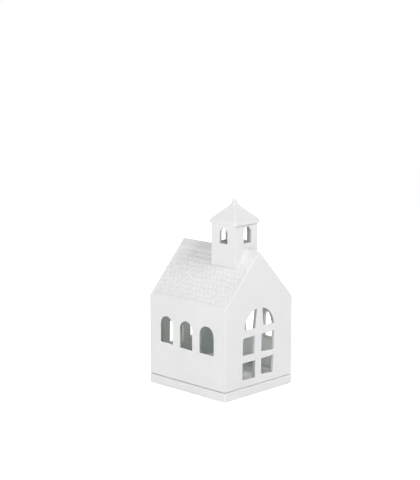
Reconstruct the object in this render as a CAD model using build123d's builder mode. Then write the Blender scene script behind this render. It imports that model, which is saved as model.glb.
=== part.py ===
from build123d import *
from math import atan2, cos, hypot, sin, tan
import os

# A white porcelain candle house: a cast house with its belfry, set loosely on a base that
# carries a tealight. Millimetres, +Z up, front gable towards -Y, origin under the base's middle.

# Base plate: a cast tray turned over, with a locating rim and a shallow tealight well on top
base_height = 7.9
base_overhang = 0.4
base_web = 4.8
base_foot_width = 5.0
base_corner_radius = 1.4
base_edge_radius = 0.7
rim_height = 2.4
rim_width = 2.4
rim_clearance = 0.6
rim_edge_radius = 0.6
well_depth = 1.2
well_clearance = 0.8

# House shell: walls, gables and roof in one casting, open underneath
house_width = 81.4
house_depth = 88.2
wall_height = 68.8
roof_rise = 43.8
wall = 3.3
house_corner_radius = 1.2
room_corner_radius = 1.2
house_foot_radius = 0.9
ridge_radius = 1.2
eave_radius = 2.0

# Roof tiles: courses of round-ended tiles in low relief between plain ridge, verge and eave bands
tile_width = 4.6
tile_exposure = 4.6
tile_end_depth = 1.7
tile_lap = 0.4
tile_relief = 0.6
tile_root = 0.8
ridge_band = 6.8
verge_band = 2.4
eave_band = 1.0

# Side windows: a row of arched openings in each long wall
side_window_count = 3
side_window_width = 14.8
side_window_height = 23.7
side_window_sill = 28.7
side_window_pitch = 23.4

# Gable windows: a wide arched opening with a mullion and transoms, shorter at the rear
gable_window_width = 38.2
gable_window_spring = 45.7
front_window_sill = 7.2
front_transom_height = 24.3
rear_window_sill = 23.9
mullion_width = 7.8
transom_width = 6.6
pane_corner_radius = 1.0

# Belfry: a square tower seated in the roof over a flue, with an arched opening in each face
belfry_width = 27.1
belfry_setback = 15.0
belfry_rise = 19.8
belfry_wall = 2.7
belfry_corner_radius = 1.0
seat_depth = 1.0
seat_clearance = 0.25
belfry_window_width = 9.2
belfry_window_height = 13.4
belfry_window_sill = 4.1

# Belfry cap: four slopes over a thick rounded eave, swept up into a blunt spike, with a plug below
cap_overhang = 1.65
cap_edge = 3.3
cap_edge_radius = 1.2
cap_corner_radius = 1.5
cap_slope_height = 9.9
cap_neck_width = 9.2
cap_waist_height = 2.6
cap_waist_width = 5.2
cap_spike_height = 4.2
cap_spike_width = 2.6
cap_tip_height = 0.6
plug_depth = 1.5
plug_clearance = 0.25

# Tealight: a pressed aluminium cup with a loose candle in it
cup_diameter = 37.2
cup_height = 14.5
cup_skin = 0.3
cup_bead_radius = 0.5
candle_clearance = 0.3
wax_height = 11.4
wax_dish = 0.8
wick_diameter = 1.6
wick_stand = 7.5
wick_clearance = 0.1
sustainer_diameter = 14.0
sustainer_skin = 0.4
sustainer_neck_height = 3.2
sustainer_clearance = 0.1

# Cuts run past the faces that they open by this much
cut_overrun = 2.0

# Heights and places that follow from the sizes above
eave_height = base_height + wall_height
ridge_height = eave_height + roof_rise
roof_pitch = atan2(roof_rise, house_width / 2)
slope_length = hypot(roof_rise, house_width / 2)
room_width = house_width - 2 * wall
room_depth = house_depth - 2 * wall
belfry_y = belfry_setback + belfry_width / 2 - house_depth / 2
belfry_top = ridge_height + belfry_rise
flue_width = belfry_width - 2 * belfry_wall
cup_radius = cup_diameter / 2
well_floor = base_height - well_depth

os.makedirs("parts", exist_ok=True)


def gable_outline(inset, foot):
    """Corners of the gable shape, moved in by inset from its walls and slopes, down to height foot."""
    half_width = house_width / 2 - inset
    ridge = ridge_height - inset / cos(roof_pitch)
    eave = ridge - half_width * tan(roof_pitch)
    return [(-half_width, foot), (half_width, foot), (half_width, eave), (0, ridge), (-half_width, eave)]


def slope_plane(side, down, depth=0.0, tilt=0.0):
    """Plane on the roof slope towards side: X runs down the slope from a line that far below the ridge.

    Z points out of the roof, depth sinks the plane into it, and tilt lifts the plane's lower end."""
    run = Vector(side * cos(roof_pitch), 0, -sin(roof_pitch))
    out = Vector(side * sin(roof_pitch), 0, cos(roof_pitch))
    start = Vector(0, 0, ridge_height) + run * down - out * depth
    return Plane(start, x_dir=run * cos(tilt) + out * sin(tilt), z_dir=out * cos(tilt) - run * sin(tilt))


def arched_opening(width, height):
    """Opening with a half-round head that stands on the middle of its sill."""
    spring = height - width / 2
    with BuildSketch() as opening:
        with BuildLine():
            Polyline((-width / 2, spring), (-width / 2, 0), (width / 2, 0), (width / 2, spring))
            ThreePointArc((width / 2, spring), (0, height), (-width / 2, spring))
        make_face()
    return opening.sketch


def gable_window(sill, transoms):
    """Arched gable window, measured from the house's foot, with its mullion and transoms left standing."""
    crown = gable_window_spring + gable_window_width / 2
    with BuildSketch() as window:
        with Locations((0, sill)):
            add(arched_opening(gable_window_width, crown - sill))
        with Locations((0, crown / 2)):
            Rectangle(mullion_width, crown, mode=Mode.SUBTRACT)
        for height in transoms:
            with Locations((0, height)):
                Rectangle(gable_window_width, transom_width, mode=Mode.SUBTRACT)
        fillet(window.vertices(), pane_corner_radius)
    return window.sketch


# Base plate
base_width = house_width + 2 * base_overhang
base_depth = house_depth + 2 * base_overhang
hollow_width = base_width - 2 * base_foot_width
hollow_depth = base_depth - 2 * base_foot_width
rim_outer_width = room_width - 2 * rim_clearance
rim_outer_depth = room_depth - 2 * rim_clearance
well_radius = cup_radius + cup_bead_radius + well_clearance

with BuildPart() as base_plate:
    with BuildSketch():
        RectangleRounded(base_width, base_depth, base_corner_radius)
    extrude(amount=base_height)
    fillet(base_plate.faces().sort_by(Axis.Z)[-1].edges(), base_edge_radius)
    fillet(base_plate.faces().sort_by(Axis.Z)[0].edges(), base_edge_radius)
    with BuildSketch():
        RectangleRounded(hollow_width, hollow_depth, base_corner_radius)
    extrude(amount=base_height - base_web, mode=Mode.SUBTRACT)
    with BuildSketch(Plane.XY.offset(base_height)):
        RectangleRounded(rim_outer_width, rim_outer_depth, room_corner_radius)
        Rectangle(rim_outer_width - 2 * rim_width, rim_outer_depth - 2 * rim_width, mode=Mode.SUBTRACT)
    extrude(amount=rim_height)
    fillet(base_plate.faces().sort_by(Axis.Z)[-1].edges(), rim_edge_radius)
    with BuildSketch(Plane.XY.offset(well_floor)):
        Circle(well_radius)
    extrude(amount=well_depth, mode=Mode.SUBTRACT)

# The space inside the house
with BuildPart() as room:
    with BuildSketch(Plane.XY.offset(base_height - cut_overrun)):
        RectangleRounded(room_width, room_depth, room_corner_radius)
    extrude(amount=wall_height + roof_rise + cut_overrun)
    with BuildSketch(Plane.XZ):
        with BuildLine():
            Polyline(*gable_outline(wall, base_height - cut_overrun), close=True)
        make_face()
    extrude(amount=house_depth / 2, both=True, mode=Mode.INTERSECT)

# The socket that the belfry's foot stands in, cut into the tiles down to a plain saddle
with BuildPart() as belfry_socket:
    with BuildSketch(Plane.XY.offset(eave_height)):
        with Locations((0, belfry_y)):
            Rectangle(belfry_width + 2 * seat_clearance, belfry_width + 2 * seat_clearance)
    extrude(amount=belfry_top - eave_height)
    with BuildSketch(Plane.XZ):
        with BuildLine():
            Polyline(*gable_outline(seat_depth, base_height), close=True)
        make_face()
    extrude(amount=house_depth / 2, both=True, mode=Mode.SUBTRACT)

# House shell
field_run = slope_length - ridge_band - eave_band
field_length = house_depth - 2 * verge_band
course_count = round(field_run / tile_exposure)
course_pitch = field_run / course_count
tile_count = round(field_length / tile_width)
tile_pitch = field_length / tile_count
tile_tuck = tile_end_depth + tile_lap
tile_length = course_pitch + tile_tuck
tile_tilt = atan2(tile_relief, tile_length)

with BuildPart() as house_shell:
    with BuildSketch(Plane.XY.offset(base_height)):
        RectangleRounded(house_width, house_depth, house_corner_radius)
    extrude(amount=wall_height + roof_rise)
    fillet(house_shell.faces().sort_by(Axis.Z)[0].edges(), house_foot_radius)
    with BuildSketch(Plane.XZ) as gable:
        with BuildLine():
            Polyline(*gable_outline(0, base_height), close=True)
        make_face()
        fillet(gable.vertices().group_by(Axis.Y)[-1], ridge_radius)
        fillet(gable.vertices().group_by(Axis.Y)[1], eave_radius)
    extrude(amount=house_depth / 2, both=True, mode=Mode.INTERSECT)
    for side in (-1, 1):
        with BuildSketch(slope_plane(side, ridge_band)):
            Rectangle(field_run, field_length, align=(Align.MIN, Align.CENTER))
    extrude(amount=-tile_relief, mode=Mode.SUBTRACT)
    courses = []
    for side in (-1, 1):
        for course in range(course_count):
            first_joint = -field_length / 2 - tile_pitch / 2 * (course % 2)
            joints = [first_joint + tile_pitch * tile for tile in range(tile_count + 1 + course % 2)]
            shoulder = tile_length - tile_end_depth
            head = ridge_band + course * course_pitch - tile_tuck
            with BuildSketch(slope_plane(side, head, tile_relief, tile_tilt)):
                with BuildLine():
                    Polyline((shoulder, joints[0]), (0, joints[0]), (0, joints[-1]), (shoulder, joints[-1]))
                    for joint in joints[:-1]:
                        tip = (tile_length, joint + tile_pitch / 2)
                        ThreePointArc((shoulder, joint), tip, (shoulder, joint + tile_pitch))
                make_face()
                Rectangle(tile_length, field_length, align=(Align.MIN, Align.CENTER), mode=Mode.INTERSECT)
            courses.append(extrude(amount=-tile_relief - tile_root, mode=Mode.PRIVATE))
    add(courses)
    add(room.part, mode=Mode.SUBTRACT)
    add(belfry_socket.part, mode=Mode.SUBTRACT)
    with BuildSketch(Plane.XY.offset(eave_height)):
        with Locations((0, belfry_y)):
            Rectangle(flue_width, flue_width)
    extrude(amount=belfry_top - eave_height, mode=Mode.SUBTRACT)
    with BuildSketch(Plane.YZ):
        first_window = -side_window_pitch * (side_window_count - 1) / 2
        for window in range(side_window_count):
            with Locations((first_window + side_window_pitch * window, base_height + side_window_sill)):
                add(arched_opening(side_window_width, side_window_height))
    extrude(amount=house_width / 2 + cut_overrun, both=True, mode=Mode.SUBTRACT)
    with BuildSketch(Plane.XZ.offset(house_depth / 2)):
        with Locations((0, base_height)):
            add(gable_window(front_window_sill, (front_transom_height, gable_window_spring)))
    extrude(amount=wall + cut_overrun, both=True, mode=Mode.SUBTRACT)
    with BuildSketch(Plane.XZ.offset(-house_depth / 2)):
        with Locations((0, base_height)):
            add(gable_window(rear_window_sill, (gable_window_spring,)))
    extrude(amount=wall + cut_overrun, both=True, mode=Mode.SUBTRACT)

# Belfry tower
with BuildPart() as belfry_tower:
    with BuildSketch(Plane.XY.offset(eave_height)):
        with Locations((0, belfry_y)):
            RectangleRounded(belfry_width, belfry_width, belfry_corner_radius)
            Rectangle(flue_width, flue_width, mode=Mode.SUBTRACT)
    extrude(amount=belfry_top - eave_height)
    with BuildSketch(Plane.XZ):
        with BuildLine():
            Polyline(*gable_outline(seat_depth, base_height), close=True)
        make_face()
    extrude(amount=house_depth / 2, both=True, mode=Mode.SUBTRACT)
    for face_plane, centre in ((Plane.XZ, 0), (Plane.YZ, belfry_y)):
        with BuildSketch(face_plane):
            with Locations((centre, ridge_height + belfry_window_sill)):
                add(arched_opening(belfry_window_width, belfry_window_height))
        extrude(amount=house_depth / 2, both=True, mode=Mode.SUBTRACT)

# Belfry cap
cap_half = belfry_width / 2 + cap_overhang
neck_height = cap_edge + cap_slope_height
spike_foot = neck_height + cap_waist_height
spike_height = spike_foot + cap_spike_height
cap_height = spike_height + cap_tip_height
plug_width = flue_width - 2 * plug_clearance

with BuildSketch() as cap_profile:
    with BuildLine():
        Polyline((0, 0), (cap_half, 0), (cap_half, cap_edge), (cap_neck_width / 2, neck_height))
        ThreePointArc(
            (cap_neck_width / 2, neck_height),
            (cap_waist_width / 2, spike_foot),
            (cap_spike_width / 2, spike_height),
        )
        Polyline((cap_spike_width / 2, spike_height), (0, cap_height), (0, 0))
    make_face()
    fillet(cap_profile.vertices().group_by(Axis.X)[-1], cap_edge_radius)
    mirror(about=Plane.YZ)

with BuildPart() as belfry_cap:
    with BuildSketch(Plane((0, belfry_y, belfry_top), x_dir=(1, 0, 0), z_dir=(0, -1, 0))):
        add(cap_profile.sketch)
    extrude(amount=cap_half, both=True)
    with BuildSketch(Plane((0, belfry_y, belfry_top), x_dir=(0, 1, 0), z_dir=(1, 0, 0))):
        add(cap_profile.sketch)
    extrude(amount=cap_half, both=True, mode=Mode.INTERSECT)
    with BuildSketch(Plane.XY.offset(belfry_top)):
        with Locations((0, belfry_y)):
            RectangleRounded(2 * cap_half, 2 * cap_half, cap_corner_radius)
    extrude(amount=cap_height, mode=Mode.INTERSECT)
    with BuildSketch(Plane.XY.offset(belfry_top)):
        with Locations((0, belfry_y)):
            Rectangle(plug_width, plug_width)
    extrude(amount=-plug_depth)

# Tealight cup
candle_floor = well_floor + cup_skin
cup_top = well_floor + cup_height

with BuildPart() as tealight_cup:
    with BuildSketch(Plane.XZ):
        with BuildLine():
            Polyline(
                (0, well_floor),
                (cup_radius, well_floor),
                (cup_radius, cup_top),
                (cup_radius - cup_skin, cup_top),
                (cup_radius - cup_skin, candle_floor),
                (0, candle_floor),
                close=True,
            )
        make_face()
        with Locations((cup_radius - cup_skin + cup_bead_radius, cup_top - cup_bead_radius)):
            Circle(cup_bead_radius)
    revolve(axis=Axis.Z)

# Wick sustainer
wick_radius = wick_diameter / 2
neck_bore = wick_radius + wick_clearance
neck_radius = neck_bore + sustainer_skin

with BuildPart() as wick_sustainer:
    with BuildSketch(Plane.XY.offset(candle_floor)):
        Circle(sustainer_diameter / 2)
    extrude(amount=sustainer_skin)
    with BuildSketch(Plane.XY.offset(candle_floor)):
        Circle(neck_radius)
    extrude(amount=sustainer_neck_height)
    with BuildSketch(Plane.XY.offset(candle_floor + sustainer_skin)):
        Circle(neck_bore)
    extrude(amount=sustainer_neck_height, mode=Mode.SUBTRACT)

# Wax
wax_radius = cup_radius - cup_skin - candle_clearance
wax_top = candle_floor + wax_height

with BuildPart() as candle_wax:
    with BuildSketch(Plane.XZ):
        with BuildLine():
            Polyline(
                (0, wax_top - wax_dish),
                (0, candle_floor),
                (wax_radius, candle_floor),
                (wax_radius, wax_top),
            )
            ThreePointArc(
                (wax_radius, wax_top),
                (wax_radius / 2, wax_top - wax_dish * (1 - (1 / 2) ** 2)),
                (0, wax_top - wax_dish),
            )
        make_face()
    revolve(axis=Axis.Z)
    with BuildSketch(Plane.XY.offset(candle_floor)):
        Circle(sustainer_diameter / 2 + sustainer_clearance)
    extrude(amount=sustainer_skin + sustainer_clearance, mode=Mode.SUBTRACT)
    with BuildSketch(Plane.XY.offset(candle_floor)):
        Circle(neck_radius + sustainer_clearance)
    extrude(amount=sustainer_neck_height + sustainer_clearance, mode=Mode.SUBTRACT)
    with BuildSketch(Plane.XY.offset(candle_floor)):
        Circle(neck_bore)
    extrude(amount=wax_height, mode=Mode.SUBTRACT)

# Wick
wick_foot = candle_floor + sustainer_skin
wick_top = wax_top + wick_stand

with BuildPart() as candle_wick:
    with BuildSketch(Plane.XY.offset(wick_foot)):
        Circle(wick_radius)
    extrude(amount=wick_top - wick_foot)

pieces = {
    "base_plate": base_plate,
    "house_shell": house_shell,
    "belfry_tower": belfry_tower,
    "belfry_cap": belfry_cap,
    "tealight_cup": tealight_cup,
    "wick_sustainer": wick_sustainer,
    "candle_wax": candle_wax,
    "candle_wick": candle_wick,
}
for name, piece in pieces.items():
    piece.part.label = name
    export_step(piece.part, f"parts/{name}.step")
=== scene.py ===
import bmesh
import bpy
from math import atan2, cos, hypot, pi, radians, sin, tan
from mathutils import Matrix, Vector


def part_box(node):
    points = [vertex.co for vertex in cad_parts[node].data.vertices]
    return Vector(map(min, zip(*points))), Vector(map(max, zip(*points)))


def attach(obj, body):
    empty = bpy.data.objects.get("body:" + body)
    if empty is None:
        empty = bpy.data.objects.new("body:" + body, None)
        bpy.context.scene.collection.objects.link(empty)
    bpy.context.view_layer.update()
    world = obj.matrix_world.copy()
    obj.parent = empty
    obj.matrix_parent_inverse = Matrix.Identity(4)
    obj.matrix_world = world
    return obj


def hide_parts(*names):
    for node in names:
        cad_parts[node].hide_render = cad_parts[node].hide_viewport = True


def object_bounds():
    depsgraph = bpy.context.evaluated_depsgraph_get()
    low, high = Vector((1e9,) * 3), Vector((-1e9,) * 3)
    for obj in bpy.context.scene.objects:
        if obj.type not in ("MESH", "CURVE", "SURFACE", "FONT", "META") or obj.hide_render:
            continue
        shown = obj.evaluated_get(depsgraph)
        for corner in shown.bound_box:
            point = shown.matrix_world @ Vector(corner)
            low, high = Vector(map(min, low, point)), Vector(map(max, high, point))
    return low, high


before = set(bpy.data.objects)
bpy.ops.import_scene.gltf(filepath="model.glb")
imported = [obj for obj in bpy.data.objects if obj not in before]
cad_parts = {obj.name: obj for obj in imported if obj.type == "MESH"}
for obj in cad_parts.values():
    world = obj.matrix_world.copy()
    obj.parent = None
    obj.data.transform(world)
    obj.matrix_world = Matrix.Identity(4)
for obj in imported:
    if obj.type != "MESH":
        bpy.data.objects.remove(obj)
cad_low, cad_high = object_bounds()

# Base plate
# The loose foot of the house: a shallow tray of white porcelain, cast upside down, matt outside and glazed
# on its floor. A low rim on top keeps the house in place, and a round well holds the tealight.
# The gaps below which corners are welded, count as level and count as lying in a wall
weld_gap = 1e-7
level_gap = 1e-6
wall_gap = 1e-5
upright_share = 0.9
cloud_low_share = 0.3
cloud_high_share = 0.7


def close_piece():
    """Leaves edit mode."""
    bpy.ops.object.mode_set(mode="OBJECT")


def open_piece(piece):
    """Makes a piece the only selected one and opens it in edit mode."""
    bpy.ops.object.select_all(action="DESELECT")
    piece.select_set(True)
    bpy.context.view_layer.objects.active = piece
    bpy.ops.object.mode_set(mode="EDIT")


def start_block(name, low, high):
    """A box between two corners, opened in edit mode."""
    bpy.ops.object.select_all(action="DESELECT")
    bpy.ops.mesh.primitive_cube_add(size=1, location=(Vector(low) + Vector(high)) / 2)
    block = bpy.context.object
    block.name = name
    block.scale = Vector(high) - Vector(low)
    bpy.ops.object.transform_apply(location=True, rotation=True, scale=True)
    bpy.ops.object.mode_set(mode="EDIT")
    return block


def start_drum(name, radius, low, high, sides):
    """An upright drum about the house's middle line, opened in edit mode."""
    bpy.ops.object.select_all(action="DESELECT")
    middle = (0, 0, (low + high) / 2)
    bpy.ops.mesh.primitive_cylinder_add(vertices=sides, radius=radius, depth=high - low, location=middle)
    drum = bpy.context.object
    drum.name = name
    bpy.ops.object.transform_apply(location=True, rotation=True, scale=True)
    bpy.ops.object.mode_set(mode="EDIT")
    return drum


def pick(piece, kind, wanted):
    """Selects the vertices, edges or faces of an open piece that pass a test, and nothing else."""
    bpy.ops.mesh.select_mode(type=kind)
    bpy.ops.mesh.select_all(action="DESELECT")
    shape = bmesh.from_edit_mesh(piece.data)
    shape.normal_update()
    for part in {"VERT": shape.verts, "EDGE": shape.edges, "FACE": shape.faces}[kind]:
        if wanted(part):
            part.select_set(True)
    bmesh.update_edit_mesh(piece.data)


def upright(edge):
    """True for an edge that runs straight up."""
    along = edge.verts[1].co - edge.verts[0].co
    return abs(along.z) > upright_share * along.length


def sharper(edge, angle):
    """True where two faces meet at more than an angle."""
    return len(edge.link_faces) == 2 and edge.calc_face_angle() > angle


def at_height(part, height):
    """True for an edge or face that lies level at a height."""
    return all(abs(corner.co.z - height) < level_gap for corner in part.verts)


def push(way):
    """Extrudes the selected faces by a vector."""
    bpy.ops.mesh.extrude_region_move(TRANSFORM_OT_translate={"value": way})


def carve(piece, cutter, how="DIFFERENCE"):
    """Cuts one closed block out of a piece, or keeps what both share, then removes the block."""
    cut = piece.modifiers.new("cut", "BOOLEAN")
    cut.operation = how
    cut.solver = "EXACT"
    cut.material_mode = "TRANSFER"
    cut.object = cutter
    bpy.context.view_layer.objects.active = piece
    bpy.ops.object.modifier_apply(modifier=cut.name)
    bpy.data.objects.remove(cutter, do_unlink=True)


def smooth_casting(piece, angle):
    """Shades a piece smooth up to an angle, with normals that keep its flat faces flat."""
    bpy.ops.object.select_all(action="DESELECT")
    piece.select_set(True)
    bpy.context.view_layer.objects.active = piece
    bpy.ops.object.shade_smooth_by_angle(angle=angle)
    even = piece.modifiers.new("even", "WEIGHTED_NORMAL")
    even.keep_sharp = True
    bpy.ops.object.modifier_apply(modifier=even.name)


def noise(finish, size, detail=3.0, stretch=(1, 1, 1)):
    """Cloudy grain about so many metres across, on the piece's own coordinates."""
    nodes = finish.node_tree.nodes
    links = finish.node_tree.links
    place = nodes.new("ShaderNodeTexCoord")
    turn = nodes.new("ShaderNodeMapping")
    turn.inputs["Scale"].default_value = stretch
    cloud = nodes.new("ShaderNodeTexNoise")
    cloud.inputs["Scale"].default_value = 1 / size
    cloud.inputs["Detail"].default_value = detail
    links.new(place.outputs["Object"], turn.inputs["Vector"])
    links.new(turn.outputs["Vector"], cloud.inputs["Vector"])
    return cloud.outputs["Fac"]


def shade_range(finish, factor, low, high):
    """A value that follows a factor's middle range from one limit to the other."""
    spread = finish.node_tree.nodes.new("ShaderNodeMapRange")
    spread.inputs["From Min"].default_value = cloud_low_share
    spread.inputs["From Max"].default_value = cloud_high_share
    spread.inputs["To Min"].default_value = low
    spread.inputs["To Max"].default_value = high
    finish.node_tree.links.new(factor, spread.inputs["Value"])
    return spread.outputs["Result"]


def blend_colours(finish, factor, first, second):
    """A colour between two, by a factor."""
    mix = finish.node_tree.nodes.new("ShaderNodeMix")
    mix.data_type = "RGBA"
    mix.inputs["A"].default_value = (*first, 1)
    mix.inputs["B"].default_value = (*second, 1)
    finish.node_tree.links.new(factor, mix.inputs["Factor"])
    return mix.outputs["Result"]


def relief(finish, height, depth, under=None):
    """Bump of a depth in metres, laid over another bump if one is given."""
    bump = finish.node_tree.nodes.new("ShaderNodeBump")
    bump.inputs["Strength"].default_value = 1.0
    bump.inputs["Distance"].default_value = depth
    finish.node_tree.links.new(height, bump.inputs["Height"])
    if under is not None:
        finish.node_tree.links.new(under, bump.inputs["Normal"])
    return bump.outputs["Normal"]


def new_finish(name):
    """A new material and its shader."""
    finish = bpy.data.materials.new(name)
    finish.use_nodes = True
    return finish, finish.node_tree.nodes["Principled BSDF"]


bisque_light = (0.71, 0.71, 0.716)
bisque_shade = (0.685, 0.685, 0.692)
bisque_roughness = (0.5, 0.66)
bisque_gloss = 0.2
bisque_cloud = 0.028
bisque_grain = 0.0007
bisque_wave = 0.011
bisque_grain_depth = 0.00003
bisque_wave_depth = 0.00025


def bisque_finish(name):
    """Matt unglazed porcelain, softly clouded, with a fine grain and low waves."""
    finish, shader = new_finish(name)
    links = finish.node_tree.links
    cloud = shade_range(finish, noise(finish, bisque_cloud), 0.0, 1.0)
    links.new(blend_colours(finish, cloud, bisque_shade, bisque_light), shader.inputs["Base Color"])
    grain = noise(finish, bisque_grain)
    links.new(shade_range(finish, grain, *bisque_roughness), shader.inputs["Roughness"])
    waves = relief(finish, noise(finish, bisque_wave, 1.0), bisque_wave_depth)
    links.new(relief(finish, grain, bisque_grain_depth, waves), shader.inputs["Normal"])
    shader.inputs["Specular IOR Level"].default_value = bisque_gloss
    return finish


bisque = bisque_finish("bisque_porcelain")

glaze_roughness = (0.08, 0.16)
glaze_coat = 0.4
glaze_coat_roughness = 0.06
glaze_cloud = 0.02
glaze_wave = 0.007
glaze_wave_depth = 0.0003


def glaze_finish(name, light, shade):
    """A glossy glaze, clouded between two colours, with soft runs in its surface."""
    finish, shader = new_finish(name)
    links = finish.node_tree.links
    cloud = noise(finish, glaze_cloud)
    colour = blend_colours(finish, shade_range(finish, cloud, 0.0, 1.0), shade, light)
    links.new(colour, shader.inputs["Base Color"])
    links.new(shade_range(finish, cloud, *glaze_roughness), shader.inputs["Roughness"])
    links.new(relief(finish, noise(finish, glaze_wave, 1.0), glaze_wave_depth), shader.inputs["Normal"])
    shader.inputs["Coat Weight"].default_value = glaze_coat
    shader.inputs["Coat Roughness"].default_value = glaze_coat_roughness
    return finish


floor_glaze = glaze_finish("floor_glaze", (0.94, 0.945, 0.94), (0.91, 0.915, 0.91))

base_low, base_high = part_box("base_plate")
base_top = 0.0079
base_corner = 0.0014
base_edge = 0.0007
base_hollow = 0.0031
base_foot_width = 0.005
rim_setback = 0.0043
rim_width = 0.0024
well_radius = 0.0199
well_floor = 0.0067
well_edge = 0.0004
round_sides = 96

base = start_block("base_casting", (base_low.x, base_low.y, 0), (base_high.x, base_high.y, base_top))
pick(base, "FACE", lambda face: at_height(face, base_top))
bpy.ops.mesh.inset(thickness=rim_setback)
push((0, 0, base_high.z - base_top))
bpy.ops.mesh.inset(thickness=rim_width)
push((0, 0, base_top - base_high.z))
pick(base, "FACE", lambda face: at_height(face, 0))
bpy.ops.mesh.inset(thickness=base_foot_width)
push((0, 0, base_hollow))
pick(base, "EDGE", upright)
bpy.ops.mesh.bevel(offset=base_corner, segments=6)
pick(base, "EDGE", lambda edge: sharper(edge, radians(60)) and not upright(edge))
bpy.ops.mesh.bevel(offset=base_edge, segments=4)
close_piece()
base.data.materials.append(bisque)
well = start_drum("well", well_radius, well_floor, base_high.z, round_sides)
close_piece()
carve(base, well)
open_piece(base)
pick(base, "EDGE", lambda edge: sharper(edge, radians(60)) and all(
    abs(hypot(end.co.x, end.co.y) - well_radius) < wall_gap for end in edge.verts))
bpy.ops.mesh.bevel(offset=well_edge, segments=3)
close_piece()
base.data.materials.append(floor_glaze)
floor_x = base_high.x - rim_setback - rim_width + base_edge
floor_y = base_high.y - rim_setback - rim_width + base_edge
for face in base.data.polygons:
    middle = face.center
    if middle.z > well_floor - well_edge and abs(middle.x) < floor_x and abs(middle.y) < floor_y:
        face.material_index = base.data.materials.find(floor_glaze.name)
smooth_casting(base, radians(40))
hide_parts("base_plate")
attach(base, "base")

# Tealight cup
# The thin cup of a standard tealight, deep-drawn from aluminium foil: a wall with one shallow groove, a
# rolled rim and a ring pressed into its underside. It stands loose in the base's well.
cup_low, cup_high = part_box("tealight_cup")
cup_skin = 0.0003
cup_seat_gap = 0.00002
cup_bead = 0.0005
cup_radius = cup_high.x - 2 * cup_bead + cup_skin
cup_heel = 0.0007
cup_ring_radius = 0.0112
cup_ring_depth = 0.0002
bead_steps = 7
bead_start = radians(-100)
bead_turn = radians(270)
cup_groove = 0.00012
cup_groove_height = 0.0034


def turned(name, profile, sides):
    """A turned piece from pairs of radius and height, opened in edit mode.

    A profile that comes back to its first pair has a hole through it, and any other is closed at
    its ends."""
    radius, height = profile[0]
    bpy.ops.object.select_all(action="DESELECT")
    bpy.ops.mesh.primitive_circle_add(vertices=sides, radius=radius, location=(0, 0, height))
    piece = bpy.context.object
    piece.name = name
    bpy.ops.object.transform_apply(location=True, rotation=True, scale=True)
    bpy.ops.object.mode_set(mode="EDIT")
    pick(piece, "EDGE", lambda edge: True)
    for next_radius, next_height in profile[1:]:
        push((0, 0, next_height - height))
        share = next_radius / radius
        bpy.ops.transform.resize(value=(share, share, 1), center_override=(0, 0, 0))
        radius, height = next_radius, next_height
    bpy.ops.mesh.select_all(action="SELECT")
    bpy.ops.mesh.remove_doubles(threshold=weld_gap)
    if profile[0] != profile[-1]:
        bpy.ops.mesh.select_all(action="SELECT")
        bpy.ops.mesh.fill_holes(sides=0)
    bpy.ops.mesh.select_all(action="SELECT")
    bpy.ops.mesh.normals_make_consistent(inside=False)
    return piece


foil_light = (0.82, 0.825, 0.83)
foil_shade = (0.70, 0.705, 0.715)
foil_cloud = 0.006
foil_line = 0.0006
foil_line_depth = 0.00002
foil_stretch = (1, 1, 0.06)
foil_roughness = (0.2, 0.36)
foil, shader = new_finish("drawn_aluminium")
links = foil.node_tree.links
cloud = shade_range(foil, noise(foil, foil_cloud), 0.0, 1.0)
links.new(blend_colours(foil, cloud, foil_shade, foil_light), shader.inputs["Base Color"])
drawn_lines = noise(foil, foil_line, 2.0, foil_stretch)
links.new(shade_range(foil, drawn_lines, *foil_roughness), shader.inputs["Roughness"])
links.new(relief(foil, drawn_lines, foil_line_depth), shader.inputs["Normal"])
shader.inputs["Metallic"].default_value = 1.0

cup_floor = cup_low.z + cup_skin - cup_seat_gap
cup_inside = cup_radius - cup_skin
bead_height = cup_high.z - cup_bead
groove_height = cup_low.z + cup_groove_height
cup_profile = [
    (cup_ring_radius - cup_ring_depth, cup_low.z + cup_ring_depth),
    (cup_ring_radius, cup_low.z + cup_ring_depth),
    (cup_ring_radius + cup_ring_depth, cup_low.z),
    (cup_radius - cup_heel, cup_low.z),
    (cup_radius - cup_heel / 3, cup_low.z + cup_heel / 3),
    (cup_radius, cup_low.z + cup_heel),
    (cup_radius, groove_height - cup_bead),
    (cup_radius - cup_groove, groove_height),
    (cup_radius, groove_height + cup_bead),
    (cup_radius, bead_height - cup_bead),
]
for step in range(bead_steps + 1):
    angle = bead_start + bead_turn * step / bead_steps
    cup_profile.append((cup_inside + cup_bead + cup_bead * cos(angle), bead_height + cup_bead * sin(angle)))
cup_profile += [
    (cup_inside, bead_height - cup_bead),
    (cup_inside, groove_height + cup_bead),
    (cup_inside - cup_groove, groove_height),
    (cup_inside, groove_height - cup_bead),
    (cup_inside, cup_floor + cup_heel),
    (cup_inside - cup_heel, cup_floor),
    (cup_ring_radius, cup_floor),
]
cup = turned("tealight_cup_pressing", cup_profile, round_sides)
close_piece()
cup.data.materials.append(foil)
smooth_casting(cup, radians(35))
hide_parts("tealight_cup")
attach(cup, "tealight")

# Wick sustainer
# A small disc of tinned steel under the wax, with a neck drawn up from it that grips the wick.
sustainer_low, sustainer_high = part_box("wick_sustainer")
sustainer_skin = 0.0004
sustainer_edge = 0.00012
neck_radius = 0.0013
neck_bore = 0.0009
neck_lip = 0.00015
dimple_radius = 0.0035

tin_light = (0.66, 0.665, 0.67)
tin_shade = (0.5, 0.505, 0.51)
tin_spangle = 0.0025
tin_roughness = (0.28, 0.45)
tin, shader = new_finish("tinned_steel")
links = tin.node_tree.links
spangle = noise(tin, tin_spangle, 4.0)
colour = blend_colours(tin, shade_range(tin, spangle, 0.0, 1.0), tin_shade, tin_light)
links.new(colour, shader.inputs["Base Color"])
links.new(shade_range(tin, spangle, *tin_roughness), shader.inputs["Roughness"])
links.new(relief(tin, spangle, foil_line_depth), shader.inputs["Normal"])
shader.inputs["Metallic"].default_value = 1.0

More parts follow.
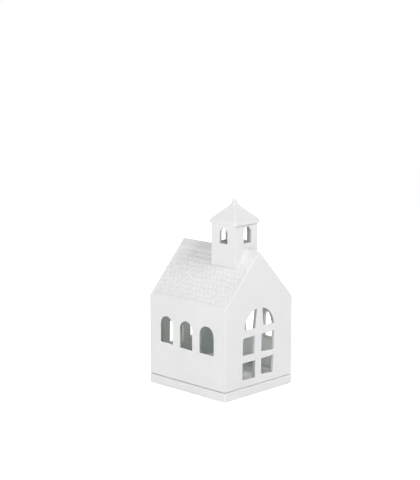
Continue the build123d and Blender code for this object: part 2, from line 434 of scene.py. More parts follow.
disc_radius = sustainer_high.x
disc_top = sustainer_low.z + sustainer_skin
sustainer = turned("wick_sustainer_pressing", [
    (neck_radius, sustainer_low.z + sustainer_edge),
    (dimple_radius, sustainer_low.z + sustainer_edge),
    (dimple_radius + sustainer_edge, sustainer_low.z),
    (disc_radius - sustainer_edge, sustainer_low.z),
    (disc_radius, sustainer_low.z + sustainer_edge),
    (disc_radius, disc_top - sustainer_edge),
    (disc_radius - sustainer_edge, disc_top),
    (neck_radius + 2 * sustainer_edge, disc_top),
    (neck_radius, disc_top + sustainer_edge),
    (neck_radius, sustainer_high.z - neck_lip),
    (neck_radius - neck_lip, sustainer_high.z),
    (neck_bore + neck_lip / 2, sustainer_high.z),
    (neck_bore, sustainer_high.z - neck_lip),
    (neck_bore, disc_top),
], round_sides // 2)
close_piece()
sustainer.data.materials.append(tin)
smooth_casting(sustainer, radians(40))
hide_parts("wick_sustainer")
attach(sustainer, "candle")

# Wax
# A poured candle of pale wax, sunk a little towards the wick as it set, with a small rise where it clings
# to the wick. Its underside is hollowed for the sustainer.
wax_low, wax_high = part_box("candle_wax")
wax_radius = wax_high.x
wax_edge = 0.0006
wax_dish = 0.0008
wax_bore = 0.0009
wax_cling = 0.0004
neck_room = 0.0001
dish_steps = 6

wax_light = (0.90, 0.885, 0.84)
wax_shade = (0.86, 0.84, 0.785)
wax_cloud = 0.007
wax_skin = 0.0012
wax_skin_depth = 0.00004
wax_glow = 0.35
wax_glow_depth = (0.004, 0.003, 0.002)
wax_roughness = (0.32, 0.48)
wax_finish, shader = new_finish("poured_wax")
links = wax_finish.node_tree.links
cloud = noise(wax_finish, wax_cloud)
colour = blend_colours(wax_finish, shade_range(wax_finish, cloud, 0.0, 1.0), wax_shade, wax_light)
links.new(colour, shader.inputs["Base Color"])
links.new(shade_range(wax_finish, cloud, *wax_roughness), shader.inputs["Roughness"])
links.new(relief(wax_finish, noise(wax_finish, wax_skin), wax_skin_depth), shader.inputs["Normal"])
shader.inputs["Subsurface Weight"].default_value = wax_glow
shader.inputs["Subsurface Radius"].default_value = wax_glow_depth
shader.inputs["Subsurface Scale"].default_value = 1.0

recess_top = sustainer_high.z + neck_room
wax_profile = [
    (wax_bore, recess_top),
    (neck_radius + neck_room, recess_top),
    (neck_radius + neck_room, disc_top + neck_room),
    (disc_radius + neck_room, disc_top + neck_room),
    (disc_radius + neck_room, wax_low.z),
    (wax_radius - wax_edge, wax_low.z),
    (wax_radius - wax_edge / 4, wax_low.z + wax_edge / 4),
    (wax_radius, wax_low.z + wax_edge),
    (wax_radius, wax_high.z - wax_edge),
    (wax_radius - wax_edge / 4, wax_high.z - wax_edge / 4),
    (wax_radius - wax_edge, wax_high.z),
]
for step in range(1, dish_steps + 1):
    share = 1 - step / (dish_steps + 1)
    wax_profile.append(((wax_radius - wax_edge) * share, wax_high.z - wax_dish * (1 - share ** 2)))
wax_profile += [
    (wax_bore + wax_cling, wax_high.z - wax_dish),
    (wax_bore + wax_cling / 4, wax_high.z - wax_dish + wax_cling / 3),
    (wax_bore, wax_high.z - wax_dish + wax_cling),
    (wax_bore, recess_top),
]
wax = turned("candle_wax_casting", wax_profile, round_sides)
close_piece()
wax.data.materials.append(wax_finish)
smooth_casting(wax, radians(40))
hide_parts("candle_wax")
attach(wax, "candle")

# Wick
# Three strands of bleached cotton laid up with a tight twist and dipped in wax, cut off square at the top.
wick_low, wick_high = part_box("candle_wick")
strand_count = 3
strand_radius = 0.00041
strand_offset = 0.00037
strand_sides = 10
strand_steps = 72
wick_turns = 7
cut_end_share = 0.75

cotton_light = (0.88, 0.86, 0.80)
cotton_shade = (0.76, 0.73, 0.66)
cotton_fibre = 0.00022
cotton_fibre_depth = 0.00008
cotton_stretch = (1, 1, 0.3)
cotton_roughness = (0.55, 0.8)
cotton_sheen = 0.2
cotton, shader = new_finish("waxed_cotton")
links = cotton.node_tree.links
fibre = noise(cotton, cotton_fibre, 3.0, cotton_stretch)
colour = blend_colours(cotton, shade_range(cotton, fibre, 0.0, 1.0), cotton_shade, cotton_light)
links.new(colour, shader.inputs["Base Color"])
links.new(shade_range(cotton, fibre, *cotton_roughness), shader.inputs["Roughness"])
links.new(relief(cotton, fibre, cotton_fibre_depth), shader.inputs["Normal"])
shader.inputs["Sheen Weight"].default_value = cotton_sheen

bpy.ops.object.select_all(action="DESELECT")
bpy.ops.mesh.primitive_circle_add(
    vertices=strand_sides, radius=strand_radius, location=(strand_offset, 0, wick_low.z))
wick = bpy.context.object
wick.name = "candle_wick_braid"
bpy.ops.object.transform_apply(location=True, rotation=True, scale=True)
bpy.ops.object.mode_set(mode="EDIT")
pick(wick, "EDGE", lambda edge: True)
for step in range(strand_steps):
    push((0, 0, (wick_high.z - wick_low.z) / strand_steps))
bpy.ops.transform.resize(value=(cut_end_share, cut_end_share, 1), center_override=(strand_offset, 0, 0))
bpy.ops.mesh.select_all(action="SELECT")
bpy.ops.mesh.fill_holes(sides=0)
bpy.ops.mesh.select_all(action="SELECT")
bpy.ops.mesh.normals_make_consistent(inside=False)
for strand in range(1, strand_count):
    bpy.ops.mesh.duplicate()
    bpy.ops.transform.rotate(value=2 * pi / strand_count, orient_axis="Z", center_override=(0, 0, 0))
close_piece()
twist = wick.modifiers.new("twist", "SIMPLE_DEFORM")
twist.deform_method = "TWIST"
twist.deform_axis = "Z"
twist.angle = 2 * pi * wick_turns
bpy.ops.object.modifier_apply(modifier=twist.name)
bpy.ops.object.shade_smooth_by_angle(angle=radians(50))
wick.data.materials.append(cotton)
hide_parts("candle_wick")
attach(wick, "candle")

# House shell
# Walls, gables and roof are one hollow slip casting, matt outside and glazed inside, open underneath.
# The windows were cut while the clay was soft, so all their edges are rounded.


def gable_block(name, width, depth, foot, eave, ridge):
    """A block with a saddle roof along Y, opened in edit mode."""
    block = start_block(name, (-width / 2, -depth / 2, foot), (width / 2, depth / 2, eave))
    pick(block, "FACE", lambda face: at_height(face, eave))
    push((0, 0, ridge - eave))
    bpy.ops.transform.resize(value=(0, 1, 1), center_override=(0, 0, ridge))
    bpy.ops.mesh.select_all(action="SELECT")
    bpy.ops.mesh.remove_doubles(threshold=level_gap)
    bpy.ops.mesh.dissolve_limited(angle_limit=radians(1))
    bpy.ops.mesh.select_all(action="SELECT")
    bpy.ops.mesh.normals_make_consistent(inside=False)
    return block


def arched_block(name, width, sill, crown, depth):
    """A block with a half-round head, standing across the Y axis, opened in edit mode."""
    spring = crown - width / 2
    bpy.ops.object.select_all(action="DESELECT")
    bpy.ops.mesh.primitive_cylinder_add(
        vertices=arch_sides, radius=width / 2, depth=depth,
        location=(0, 0, spring), rotation=(pi / 2, 0, 0))
    block = bpy.context.object
    block.name = name
    bpy.ops.object.transform_apply(location=True, rotation=True, scale=True)
    bpy.ops.object.mode_set(mode="EDIT")
    bpy.ops.mesh.select_all(action="SELECT")
    bpy.ops.mesh.bisect(plane_co=(0, 0, spring), plane_no=(0, 0, 1), use_fill=True, clear_inner=True)
    pick(block, "FACE", lambda face: at_height(face, spring))
    push((0, 0, sill - spring))
    bpy.ops.mesh.select_all(action="SELECT")
    bpy.ops.mesh.remove_doubles(threshold=weld_gap)
    bpy.ops.mesh.normals_make_consistent(inside=False)
    return block


def trim_pane(corner, next_corner, lean=0.0):
    """Cuts the open block along the line from one corner to the next and keeps its left side.

    A level cut can lean, so that it falls towards +Y."""
    run, rise = next_corner[0] - corner[0], next_corner[1] - corner[1]
    bpy.ops.mesh.select_all(action="SELECT")
    bpy.ops.mesh.bisect(
        plane_co=(corner[0], 0, corner[1]), plane_no=(rise, -lean * run, -run),
        use_fill=True, clear_outer=True)


def cut_pane(gable, reveal, corners, arched=False):
    """Cuts one pane through a gable along its corners, under the window's arch if it is a head pane."""
    inward = 1 if gable < 0 else -1
    pane = start_block("pane", (-house_width, -2 * wall, 0), (house_width, 2 * wall, ridge))
    for corner, next_corner in zip(corners, corners[1:]):
        is_sill = next_corner[0] - corner[0] > abs(next_corner[1] - corner[1])
        trim_pane(corner, next_corner, inward * sill_fall if is_sill else 0.0)
    close_piece()
    pane.data.materials.append(reveal)
    if arched:
        arch = arched_block("arch", head_width, front_sill, head_crown, house_depth)
        close_piece()
        arch.data.materials.append(reveal)
        place(arch, (head_middle, 0, 0))
        carve(pane, arch, "INTERSECT")
    open_piece(pane)
    pick(pane, "EDGE", lambda edge: sharper(edge, radians(30)) and abs(
        edge.verts[0].co.y - edge.verts[1].co.y) > wall)
    bpy.ops.mesh.bevel(offset=pane_corner, segments=4)
    close_piece()
    place(pane, (0, gable, 0))
    carve(house, pane)


def split_gable(level):
    """Splits a gable's face at its mullion, so that each half frames its own panes."""
    open_piece(house)
    pick(house, "FACE", lambda face: abs(face.normal.y) > flat_share and abs(
        face.calc_center_median().y - level) < window_edge)
    bpy.ops.mesh.bisect(plane_co=(head_middle, 0, 0), plane_no=(1, 0, 0))
    close_piece()


def place(piece, where, turn=0.0):
    """Turns a block about Z, moves it and applies both to its mesh."""
    bpy.ops.object.select_all(action="DESELECT")
    piece.select_set(True)
    bpy.context.view_layer.objects.active = piece
    piece.rotation_euler = (0, 0, turn)
    piece.location = where
    bpy.ops.object.transform_apply(location=True, rotation=True, scale=True)


def slope_frame(side):
    """Frame of one roof slope from the ridge's middle: Y runs down the slope and Z points out of it."""
    down = Vector((side * cos(pitch), 0, -sin(pitch)))
    out = Vector((side * sin(pitch), 0, cos(pitch)))
    return Matrix.Translation((0, 0, ridge)) @ Matrix((down.cross(out), down, out)).transposed().to_4x4()


house_low, house_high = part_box("house_shell")
tower_low, tower_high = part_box("belfry_tower")
house_width = house_high.x - house_low.x
house_depth = house_high.y - house_low.y
foot = house_low.z
eave = 0.0767
ridge = 0.1205
wall = 0.0033
corner_edge = 0.0003
verge_edge = 0.0014
eave_edge = 0.002
ridge_edge = 0.0012
foot_gap = 0.0005
foot_setback = 0.0014
foot_edge = 0.00015
room_edge = 0.0016
flue_wall = 0.0027
window_edge = 0.00025
reveal_edge = 0.0005
field_length = 0.0834
field_depth = 0.0008
field_fall = 0.0009
field_head = 0.0022
ridge_band = 0.0057
eave_band = 0.0037
course_count = 11
field_run = hypot(ridge - eave, house_width / 2) - ridge_band - eave_band
course_pitch = field_run / course_count
arch_sides = 64
pitch = atan2(ridge - eave, house_width / 2)
room_ridge = ridge - wall / cos(pitch)
room_width = house_width - 2 * wall
room_x = room_width / 2
room_y = house_depth / 2 - wall
room_eave = room_ridge - room_width / 2 * tan(pitch)
side_window_rear = (0.0239, 0.0144, 0.0365, 0.0609, 0.057)
side_window_middle = (0.00095, 0.0144, 0.0355, 0.0605, 0.046)
side_window_front = (-0.0229, 0.0162, 0.0357, 0.0605, 0.0)
head_middle = 0.00025
head_width = 0.0368
head_crown = 0.0728
front_sill = 0.0148
pane_corner = 0.0008
sill_fall = 0.3
# Depth below the ridge, fade and colour share of the painted shade along the ridge band
painted_shade_depth = 0.0053
painted_shade_fade = 0.001
painted_shade_share = 0.93
flat_share = 0.999
slope_low_share = 0.5
slope_high_share = 0.9
front_head_left = [(-0.0180, 0.0569), (-0.0047, 0.0565), (-0.0026, 0.0722)]
front_head_right = [(0.0040, 0.0728), (0.0052, 0.0575), (0.0185, 0.0568)]
front_middle_left = [
    (-0.0198, 0.0356), (-0.0054, 0.0352), (-0.0047, 0.0501), (-0.0194, 0.0498), (-0.0198, 0.0356)]
front_middle_right = [
    (0.0026, 0.0353), (0.0180, 0.0344), (0.0191, 0.0502), (0.0033, 0.0503), (0.0026, 0.0353)]
front_low_left = [
    (-0.0199, 0.0150), (-0.0046, 0.0145), (-0.0045, 0.0290), (-0.0198, 0.0292), (-0.0199, 0.0150)]
front_low_right = [
    (0.0028, 0.0159), (0.0175, 0.0148), (0.0181, 0.0296), (0.0027, 0.0294), (0.0028, 0.0159)]
rear_head_left = [(-0.0185, 0.0570), (-0.0042, 0.0570), (-0.0038, 0.0730)]
rear_head_right = [(0.0044, 0.0730), (0.0047, 0.0572), (0.0190, 0.0570)]
rear_low_left = [
    (-0.0203, 0.0316), (-0.0042, 0.0316), (-0.0042, 0.0503), (-0.0200, 0.0503), (-0.0203, 0.0316)]
rear_low_right = [
    (0.0047, 0.0326), (0.0188, 0.0322), (0.0190, 0.0504), (0.0045, 0.0504), (0.0047, 0.0326)]

# Painted shade: the smooth band along the ridge is coloured a little darker than the rest of the roof, for
# the shade that falls there
roof_ridge_painted_shade = bisque_finish("roof_ridge_painted_shade")
nodes = roof_ridge_painted_shade.node_tree.nodes
links = roof_ridge_painted_shade.node_tree.links
shader = nodes["Principled BSDF"]
height = nodes.new("ShaderNodeSeparateXYZ")
links.new(nodes.new("ShaderNodeTexCoord").outputs["Object"], height.inputs[0])
painted_shade_ramp = nodes.new("ShaderNodeMapRange")
painted_shade_ramp.inputs["From Min"].default_value = ridge - painted_shade_depth - painted_shade_fade
painted_shade_ramp.inputs["From Max"].default_value = ridge - painted_shade_depth
painted_shade_ramp.inputs["To Min"].default_value = 1.0
painted_shade_ramp.inputs["To Max"].default_value = painted_shade_share
links.new(height.outputs["Z"], painted_shade_ramp.inputs["Value"])
painted_shade_colour = nodes.new("ShaderNodeVectorMath")
painted_shade_colour.operation = "SCALE"
links.new(shader.inputs["Base Color"].links[0].from_socket, painted_shade_colour.inputs[0])
links.new(painted_shade_ramp.outputs["Result"], painted_shade_colour.inputs["Scale"])
links.new(painted_shade_colour.outputs["Vector"], shader.inputs["Base Color"])
room_glaze = glaze_finish("room_glaze", (0.85, 0.875, 0.85), (0.81, 0.84, 0.815))
# Reveal glazes: the grey-green inside glaze in three darker steps, partly its own colour and partly painted
# shade in the window reveals; the darkest is on the left windows
light_shade_glaze = glaze_finish("reveal_glaze_light_painted_shade", (0.68, 0.69, 0.68), (0.62, 0.63, 0.62))
darker_shade_glaze = glaze_finish("reveal_glaze_darker_painted_shade", (0.49, 0.50, 0.49), (0.43, 0.44, 0.43))
# Painted shade: the rear wall's inside glaze is coloured darker than the other inside walls
rear_shade_glaze = glaze_finish("rear_wall_painted_shade_glaze", (0.70, 0.73, 0.70), (0.65, 0.68, 0.655))
darkest_shade_glaze = glaze_finish("reveal_glaze_darkest_painted_shade", (0.36, 0.385, 0.36), (0.31, 0.335, 0.315))

house = gable_block("house_casting", house_width, house_depth, foot + foot_gap, eave, ridge)
pick(house, "EDGE", lambda edge: at_height(edge, eave))
bpy.ops.mesh.bevel(offset=eave_edge, segments=5)
pick(house, "EDGE", lambda edge: at_height(edge, ridge))
bpy.ops.mesh.bevel(offset=ridge_edge, segments=4)
pick(house, "FACE", lambda face: at_height(face, foot + foot_gap))
bpy.ops.mesh.inset(thickness=foot_setback)
push((0, 0, -foot_gap))
shape = bmesh.from_edit_mesh(house.data)
weights = shape.edges.layers.float.new("bevel_weight_edge")
for edge in shape.edges:
    ends = [end.co for end in edge.verts]
    level = (ends[0].z + ends[1].z) / 2
    on_gable = all(abs(abs(end.y) - house_depth / 2) < level_gap for end in ends)
    if on_gable and abs(ends[0].y - ends[1].y) < level_gap and level > foot + 2 * foot_gap:
        rounding = min(max((level - eave + eave_edge) / (2 * eave_edge), 0.0), 1.0)
        edge[weights] = (corner_edge + (verge_edge - corner_edge) * rounding) / verge_edge
bmesh.update_edit_mesh(house.data)
close_piece()
rounded = house.modifiers.new("rounded", "BEVEL")
rounded.limit_method = "WEIGHT"
rounded.width = verge_edge
rounded.segments = 4
bpy.ops.object.modifier_apply(modifier=rounded.name)
open_piece(house)
pick(house, "EDGE", lambda edge: at_height(edge, foot + foot_gap) and edge.is_convex and sharper(
    edge, radians(60)))
bpy.ops.mesh.bevel(offset=foot_edge, segments=3)
close_piece()
house.data.materials.append(bisque)

room = gable_block("room", room_width, house_depth - 2 * wall, foot - wall, room_eave, room_ridge)
pick(room, "EDGE", lambda edge: sharper(edge, radians(20)) and not at_height(edge, foot - wall))
bpy.ops.mesh.bevel(offset=room_edge, segments=4)
close_piece()
room.data.materials.append(room_glaze)
carve(house, room)

flue = start_block(
    "flue",
    (tower_low.x + flue_wall, tower_low.y + flue_wall, eave),
    (tower_high.x - flue_wall, tower_high.y - flue_wall, tower_high.z))
close_piece()
carve(house, flue)
field_top = ridge_band + field_head
field_end = ridge_band + field_run
for side in (-1, 1):
    field = start_block(
        "tile_field",
        (-field_length / 2 - field_fall, field_top - field_fall, -field_depth),
        (field_length / 2 + field_fall, field_end, field_depth))
    pick(field, "FACE", lambda face: at_height(face, -field_depth))
    bpy.ops.transform.resize(
        value=(1 - 4 * field_fall / field_length, 1 - 2 * field_fall / field_run, 1),
        center_override=(0, field_end, 0))
    close_piece()
    field.matrix_world = slope_frame(side)
    carve(house, field)

# Side windows: the left reveals take the darkest painted shade, the right ones the lightest
for middle, width, sill, crown, tilt_share in (side_window_rear, side_window_middle, side_window_front):
    for side, reveal in ((-1, darkest_shade_glaze), (1, light_shade_glaze)):
        window = arched_block("window", width, sill - 2 * wall, crown, 4 * wall)
        close_piece()
        window.data.materials.append(reveal)
        under_sill = start_block(
            "under_sill", (-width, -4 * wall, sill - 4 * wall), (width, 4 * wall, sill + 2 * wall))
        drop = side * tilt_share * width
        trim_pane((width, sill + drop), (-width, sill - drop), sill_fall)
        close_piece()
        under_sill.data.materials.append(reveal)
        carve(window, under_sill)
        place(window, (side * house_width / 2, middle, 0), side * pi / 2)
        carve(house, window)

front = house_low.y
split_gable(front + wall)
# Front panes: the head panes and the low left pane take the darker painted shade, the others the lightest
cut_pane(front, darker_shade_glaze, front_head_left, True)
cut_pane(front, darker_shade_glaze, front_head_right, True)
cut_pane(front, light_shade_glaze, front_middle_left)
cut_pane(front, light_shade_glaze, front_middle_right)
cut_pane(front, darker_shade_glaze, front_low_left)
cut_pane(front, light_shade_glaze, front_low_right)

rear = house_high.y
split_gable(rear)
split_gable(rear - wall)
# Rear panes all take the lightest painted shade
cut_pane(rear, light_shade_glaze, rear_head_left, True)
cut_pane(rear, light_shade_glaze, rear_head_right, True)
cut_pane(rear, light_shade_glaze, rear_low_left)
cut_pane(rear, light_shade_glaze, rear_low_right)

# The rear wall's inside faces take the glaze with painted shade
house.data.materials.append(rear_shade_glaze)
house.data.materials.append(roof_ridge_painted_shade)
for face in house.data.polygons:
    if house.data.materials[face.material_index] == room_glaze and face.center.y > room_y - wall_gap:
        face.material_index = house.data.materials.find(rear_shade_glaze.name)
    # Roof slope faces take the material with the painted shade along the ridge
    if face.center.z > eave and slope_low_share < face.normal.z < slope_high_share:
        face.material_index = house.data.materials.find(roof_ridge_painted_shade.name)


def on_walls(edge, half_width, half_depth):
    """True for an edge that lies in one of four upright walls below the eaves."""
    ends = [end.co for end in edge.verts]
    along_side = all(abs(abs(end.x) - half_width) < wall_gap for end in ends)
    along_gable = all(abs(abs(end.y) - half_depth) < wall_gap for end in ends)
    return (along_side or along_gable) and max(end.z for end in ends) < eave


open_piece(house)
bpy.ops.mesh.select_all(action="SELECT")
bpy.ops.mesh.remove_doubles(threshold=level_gap)
pick(house, "EDGE", lambda edge: sharper(edge, radians(50)) and on_walls(
    edge, house_width / 2, house_depth / 2))
bpy.ops.mesh.bevel(
    offset=window_edge, segments=3, loop_slide=False, material=house.data.materials.find(bisque.name))
# Inner window edges take the painted-shade reveal glazes: darkest on the left wall, darker on the front
# wall, lightest on the right and rear walls
for glaze, where in (
        (darkest_shade_glaze, lambda end: end.x < wall_gap - room_x),
        (darker_shade_glaze, lambda end: end.y < wall_gap - room_y),
        (light_shade_glaze, lambda end: end.x > room_x - wall_gap or end.y > room_y - wall_gap)):
    pick(house, "EDGE", lambda edge: sharper(edge, radians(50)) and on_walls(edge, room_x, room_y) and all(
        where(end.co) and end.co.z > front_sill - wall for end in edge.verts))
    bpy.ops.mesh.bevel(
        offset=reveal_edge, segments=4, loop_slide=False, material=house.data.materials.find(glaze.name))
close_piece()
smooth_casting(house, radians(40))
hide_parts("house_shell")
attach(house, "house")

# Roof tiles
# Eleven courses of small round-ended tiles on each slope. They are relief in the same casting as the
# roof, so they have no joints: each is a shallow pillow that lifts a little at its lower end.
tile_columns = 18
tile_width = field_length / tile_columns
tile_end = 0.0017
tile_thickness = 0.0013
tile_edge = 0.0003
tile_crown = 0.00022
tile_lap = 0.0002
tile_crown_inset = 0.0011
tile_relief = field_depth
tile_length = 0.0068
tile_sides = 20
tower_joint = 0.0004

bpy.ops.object.select_all(action="DESELECT")
bpy.ops.mesh.primitive_circle_add(vertices=tile_sides, radius=tile_width / 2 + tile_lap, fill_type="NGON")
tile = bpy.context.object
tile.name = "roof_tile"
bpy.ops.object.mode_set(mode="EDIT")
bpy.ops.mesh.select_all(action="SELECT")
bpy.ops.transform.resize(value=(1, 2 * tile_end / tile_width, 1), center_override=(0, 0, 0))
bpy.ops.mesh.bisect(plane_co=(0, 0, 0), plane_no=(0, 1, 0), clear_inner=True)
pick(tile, "EDGE", lambda edge: all(abs(end.co.y) < weld_gap for end in edge.verts))
push((0, tile_end - tile_length, 0))
bpy.ops.mesh.select_all(action="SELECT")
bpy.ops.transform.translate(value=(0, tile_length - tile_end, 0))
bpy.ops.mesh.dissolve_limited(angle_limit=radians(1))
bpy.ops.mesh.select_all(action="SELECT")
push((0, 0, -tile_thickness))
bpy.ops.mesh.select_all(action="SELECT")
bpy.ops.mesh.normals_make_consistent(inside=False)
pick(tile, "EDGE", lambda edge: at_height(edge, 0))
bpy.ops.mesh.bevel(offset=tile_edge, segments=2)
pick(tile, "FACE", lambda face: at_height(face, 0))
bpy.ops.mesh.inset(thickness=tile_crown_inset)
bpy.ops.transform.translate(value=(0, 0, tile_crown))
close_piece()
tile.rotation_euler = (atan2(tile_relief, tile_length), 0, 0)
bpy.ops.object.transform_apply(location=True, rotation=True, scale=True)
tile.data.materials.append(bisque)

for side, name in ((-1, "roof_tiles_left"), (1, "roof_tiles_right")):
    slope = slope_frame(side)
    laid = []
    for course in range(course_count):
        shift = course % 2
        for column in range(tile_columns + shift):
            across = (column - (tile_columns - 1 + shift) / 2) * tile_width
            down = ridge_band + course * course_pitch - (tile_length - course_pitch)
            seat = slope @ Matrix.Translation((across, down, -tile_relief))
            head = seat @ Vector((0, 0, 0))
            tip = seat @ Vector((0, tile_length, 0))
            beside = tower_low.y - tile_width / 2 < head.y < tower_high.y + tile_width / 2
            under = abs(head.x) < tower_high.x
            inside = tower_low.y + tile_width / 2 < head.y < tower_high.y - tile_width / 2
            if inside and abs(tip.x) < tower_high.x:
                continue
            copy = tile.copy()
            copy.data = tile.data.copy()
            bpy.context.collection.objects.link(copy)
            copy.matrix_world = seat
            laid.append(copy)
            if beside and under:
                tower_block = start_block(
                    "tower_block",
                    (tower_low.x - tower_joint, tower_low.y - tower_joint, eave),
                    (tower_high.x + tower_joint, tower_high.y + tower_joint, tower_high.z))
                close_piece()
                carve(copy, tower_block)
            if shift and column in (0, tile_columns):
                outside = start_block(
                    "outside",
                    (-house_width, head.y if head.y > 0 else head.y - tile_width, foot),
                    (house_width, head.y + tile_width if head.y > 0 else head.y, 2 * ridge))
                close_piece()
                carve(copy, outside)
    bpy.ops.object.select_all(action="DESELECT")
    for copy in laid:
        copy.select_set(True)
    bpy.context.view_layer.objects.active = laid[0]
    bpy.ops.object.join()
    tiles = bpy.context.object
    tiles.name = name
    bpy.ops.object.transform_apply(location=True, rotation=True, scale=True)
    bpy.ops.object.shade_smooth_by_angle(angle=radians(50))
    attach(tiles, "house")
bpy.data.objects.remove(tile, do_unlink=True)

# Belfry tower
# A small square tower, cast by itself with an arched opening in each face and stuck astride the
# ridge with slip before firing.
cap_foot = tower_high.z
tower_edge = 0.0003
tower_wall = flue_wall
tower_seat = 0.001
tower_middle = (tower_low.y + tower_high.y) / 2
tower_half = tower_high.x
tower_window_sill = 0.1246
sill_slack = 0.0001
tower_window_edge = 0.0004
tower_window_front = (0.0018, 0.0096, 0.1387)
tower_window_rear = (-0.0007, 0.0074, 0.1380)
tower_window_left = (-0.0003, 0.0087, 0.1374)
tower_window_right = (0.0005, 0.0083, 0.1380)

tower = start_block("belfry_casting", (tower_low.x, tower_low.y, eave), tower_high)
pick(tower, "EDGE", upright)
bpy.ops.mesh.bevel(offset=tower_edge, segments=3)
close_piece()
tower.data.materials.append(bisque)
flue = start_block(
    "flue",
    (tower_low.x + tower_wall, tower_low.y + tower_wall, foot),
    (tower_high.x - tower_wall, tower_high.y - tower_wall, 2 * ridge))
close_piece()
carve(tower, flue)
saddle = gable_block(
    "saddle", 2 * house_width, house_depth, foot,
    ridge - tower_seat / cos(pitch) - house_width * tan(pitch), ridge - tower_seat / cos(pitch))
close_piece()
carve(tower, saddle)


def cut_tower_window(width, crown, where, turn=0.0):
    """Cuts one arched opening through a wall of the tower."""
    window = arched_block("window", width, tower_window_sill, crown, 4 * tower_wall)
    close_piece()
    place(window, where, turn)
    carve(tower, window)


for row, level in ((tower_window_front, tower_low.y), (tower_window_rear, tower_high.y)):
    shift, width, crown = row
    cut_tower_window(width, crown, (shift, level, 0))
for row, level in ((tower_window_left, tower_low.x), (tower_window_right, tower_high.x)):
    shift, width, crown = row
    cut_tower_window(width, crown, (level, tower_middle + shift, 0), pi / 2)
open_piece(tower)
bpy.ops.mesh.select_all(action="SELECT")
bpy.ops.mesh.remove_doubles(threshold=level_gap)
pick(tower, "EDGE", lambda edge: sharper(edge, radians(50)) and edge.is_convex and all(
    tower_window_sill - sill_slack < end.co.z < cap_foot - tower_wall / 2 for end in edge.verts))
bpy.ops.mesh.bevel(offset=tower_window_edge, segments=3, loop_slide=False)
close_piece()
smooth_casting(tower, radians(40))
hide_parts("belfry_tower")
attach(tower, "house")

# Belfry cap
# The tower's own roof, cast by itself: a thick rounded eave and four slopes that sweep up into a blunt
# spike. A square plug under it drops into the tower, where it is stuck with slip.
cap_low, cap_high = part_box("belfry_cap")
cap_corner = 0.001
cap_soffit_edge = 0.0012
cap_eave_edge = 0.002
cap_edge = 0.0033
cap_slope_height = 0.0099
cap_neck = 0.005
cap_spike = 0.0015
cap_spike_height = 0.0064
cap_sweep_power = 1.7
edge_steps = 5
sweep_steps = 10
plug_room = 0.00025
plug_half = tower_half - tower_wall - plug_room

cap_half = cap_high.x
slope_lean = atan2(cap_slope_height, cap_half - cap_neck)
eave_round = cap_eave_edge * tan((pi / 2 - slope_lean) / 2)
cap_profile = []
for step in range(1, edge_steps + 1):
    angle = pi / 2 * step / edge_steps
    cap_profile.append((
        cap_half - cap_soffit_edge * (1 - sin(angle)), cap_foot + cap_soffit_edge * (1 - cos(angle))))
for step in range(edge_steps + 1):
    angle = (pi / 2 - slope_lean) * step / edge_steps
    cap_profile.append((
        cap_half - cap_eave_edge * (1 - cos(angle)),
        cap_foot + cap_edge - eave_round + cap_eave_edge * sin(angle)))
neck_height = cap_foot + cap_edge + cap_slope_height
for step in range(sweep_steps + 1):
    share = step / sweep_steps
    cap_profile.append((
        cap_spike + (cap_neck - cap_spike) * (1 - share) ** cap_sweep_power,
        neck_height + cap_spike_height * share))
spike_height = neck_height + cap_spike_height
for step in range(1, edge_steps):
    angle = pi / 2 * step / edge_steps
    cap_profile.append((
        cap_spike * cos(angle), spike_height + (cap_high.z - spike_height) * sin(angle)))
cap_profile.append((cap_spike * cos(angle) / 2, cap_high.z))

soffit_half = cap_half - cap_soffit_edge
half, height = soffit_half, cap_profile[0][1]
cap = start_block(
    "belfry_cap_casting",
    (-half, tower_middle - half, cap_foot), (half, tower_middle + half, height))
pick(cap, "EDGE", upright)
bpy.ops.mesh.bevel(offset=cap_corner, segments=5)
pick(cap, "FACE", lambda face: at_height(face, cap_foot))
push((0, 0, 0))
share = plug_half / soffit_half
bpy.ops.transform.resize(value=(share, share, 1), center_override=(0, tower_middle, 0))
push((0, 0, cap_low.z - cap_foot))
pick(cap, "FACE", lambda face: at_height(face, height))
for step, (next_half, next_height) in enumerate(cap_profile):
    if step > 0:
        push((0, 0, next_height - height))
    share = next_half / half
    bpy.ops.transform.resize(value=(share, share, 1), center_override=(0, tower_middle, 0))
    half, height = next_half, next_height
close_piece()
cap.data.materials.append(bisque)
smooth_casting(cap, radians(40))
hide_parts("belfry_cap")
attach(cap, "house")

# Studio
# A white paper sheet under even light from all round, with a soft key lamp high in front, a lamp behind the
# camera and large low lamps on the left and behind the house, so that its matt white keeps light shadows.
white = (1, 1, 1, 1)
paper_colour = (0.95, 0.95, 0.95, 1)
paper_glow = 0.5
room_light = 0.28
paper_size = 1.6
paper_drop = 0.0001
paper_roughness = 0.9
key_lamp = ((0.0, -0.68, 0.80), 0.29, 5.5)
near_lamp = ((-1.35, -1.3, 0.85), 0.6, 4.5)
left_lamp = ((-2.0, -0.3, 0.28), 1.4, 29.5)
rear_lamp = ((1.7, 1.6, 0.5), 1.4, 52.0)
light_bounces = 8


def seen_directly(nodes, links):
    """1 for camera, mirror and see-through rays, and 0 for the rays that light the object."""
    path = nodes.new("ShaderNodeLightPath")
    either = nodes.new("ShaderNodeMath")
    either.operation = "MAXIMUM"
    any_of_three = nodes.new("ShaderNodeMath")
    any_of_three.operation = "MAXIMUM"
    links.new(path.outputs["Is Camera Ray"], either.inputs[0])
    links.new(path.outputs["Is Glossy Ray"], either.inputs[1])
    links.new(either.outputs[0], any_of_three.inputs[0])
    links.new(path.outputs["Is Transmission Ray"], any_of_three.inputs[1])
    return any_of_three.outputs[0]


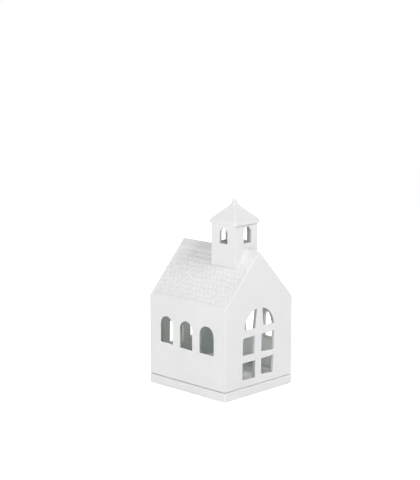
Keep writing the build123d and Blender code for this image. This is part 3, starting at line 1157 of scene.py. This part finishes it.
bpy.ops.object.select_all(action="DESELECT")
bpy.ops.mesh.primitive_plane_add(size=paper_size, location=(0, 0, -paper_drop))
paper = bpy.context.object
paper.name = "paper"
sheet = bpy.data.materials.new("white_paper")
sheet.use_nodes = True
nodes = sheet.node_tree.nodes
links = sheet.node_tree.links
shader = nodes["Principled BSDF"]
shader.inputs["Base Color"].default_value = paper_colour
shader.inputs["Roughness"].default_value = paper_roughness
shader.inputs["Emission Color"].default_value = white
strength = nodes.new("ShaderNodeMath")
strength.operation = "MULTIPLY"
strength.inputs[1].default_value = paper_glow
links.new(seen_directly(nodes, links), strength.inputs[0])
links.new(strength.outputs[0], shader.inputs["Emission Strength"])
paper.data.materials.append(sheet)

sky = bpy.data.worlds.new("studio")
bpy.context.scene.world = sky
sky.use_nodes = True
nodes = sky.node_tree.nodes
links = sky.node_tree.links
background = nodes["Background"]
background.inputs["Color"].default_value = white
level = nodes.new("ShaderNodeMapRange")
level.inputs["To Min"].default_value = room_light
level.inputs["To Max"].default_value = 1.0
links.new(seen_directly(nodes, links), level.inputs["Value"])
links.new(level.outputs["Result"], background.inputs["Strength"])

target = Vector((0, 0, cad_high.z / 2))
for name, row in (
        ("key_lamp", key_lamp), ("near_lamp", near_lamp),
        ("left_lamp", left_lamp), ("rear_lamp", rear_lamp)):
    where, size, power = row
    bpy.ops.object.light_add(type="AREA", location=where)
    lamp = bpy.context.object
    lamp.name = name
    lamp.data.size = size
    lamp.data.energy = power
    lamp.rotation_euler = (target - Vector(where)).to_track_quat("-Z", "Y").to_euler()
bpy.context.scene.cycles.diffuse_bounces = light_bounces

# Camera
# Stands off the front left corner, higher than the cap, with a long lens.
camera_place = (-0.8998, -0.8683, 0.3690)
camera_tilt = radians(78.9025)
camera_turn = radians(-45.6)
camera_lens = 114.05
camera_sensor = 36.0
bpy.ops.object.camera_add(location=camera_place, rotation=(camera_tilt, 0, camera_turn))
camera = bpy.context.object
camera.data.lens = camera_lens
camera.data.sensor_width = camera_sensor
bpy.context.scene.camera = camera
bpy.context.scene.view_settings.view_transform = "Standard"
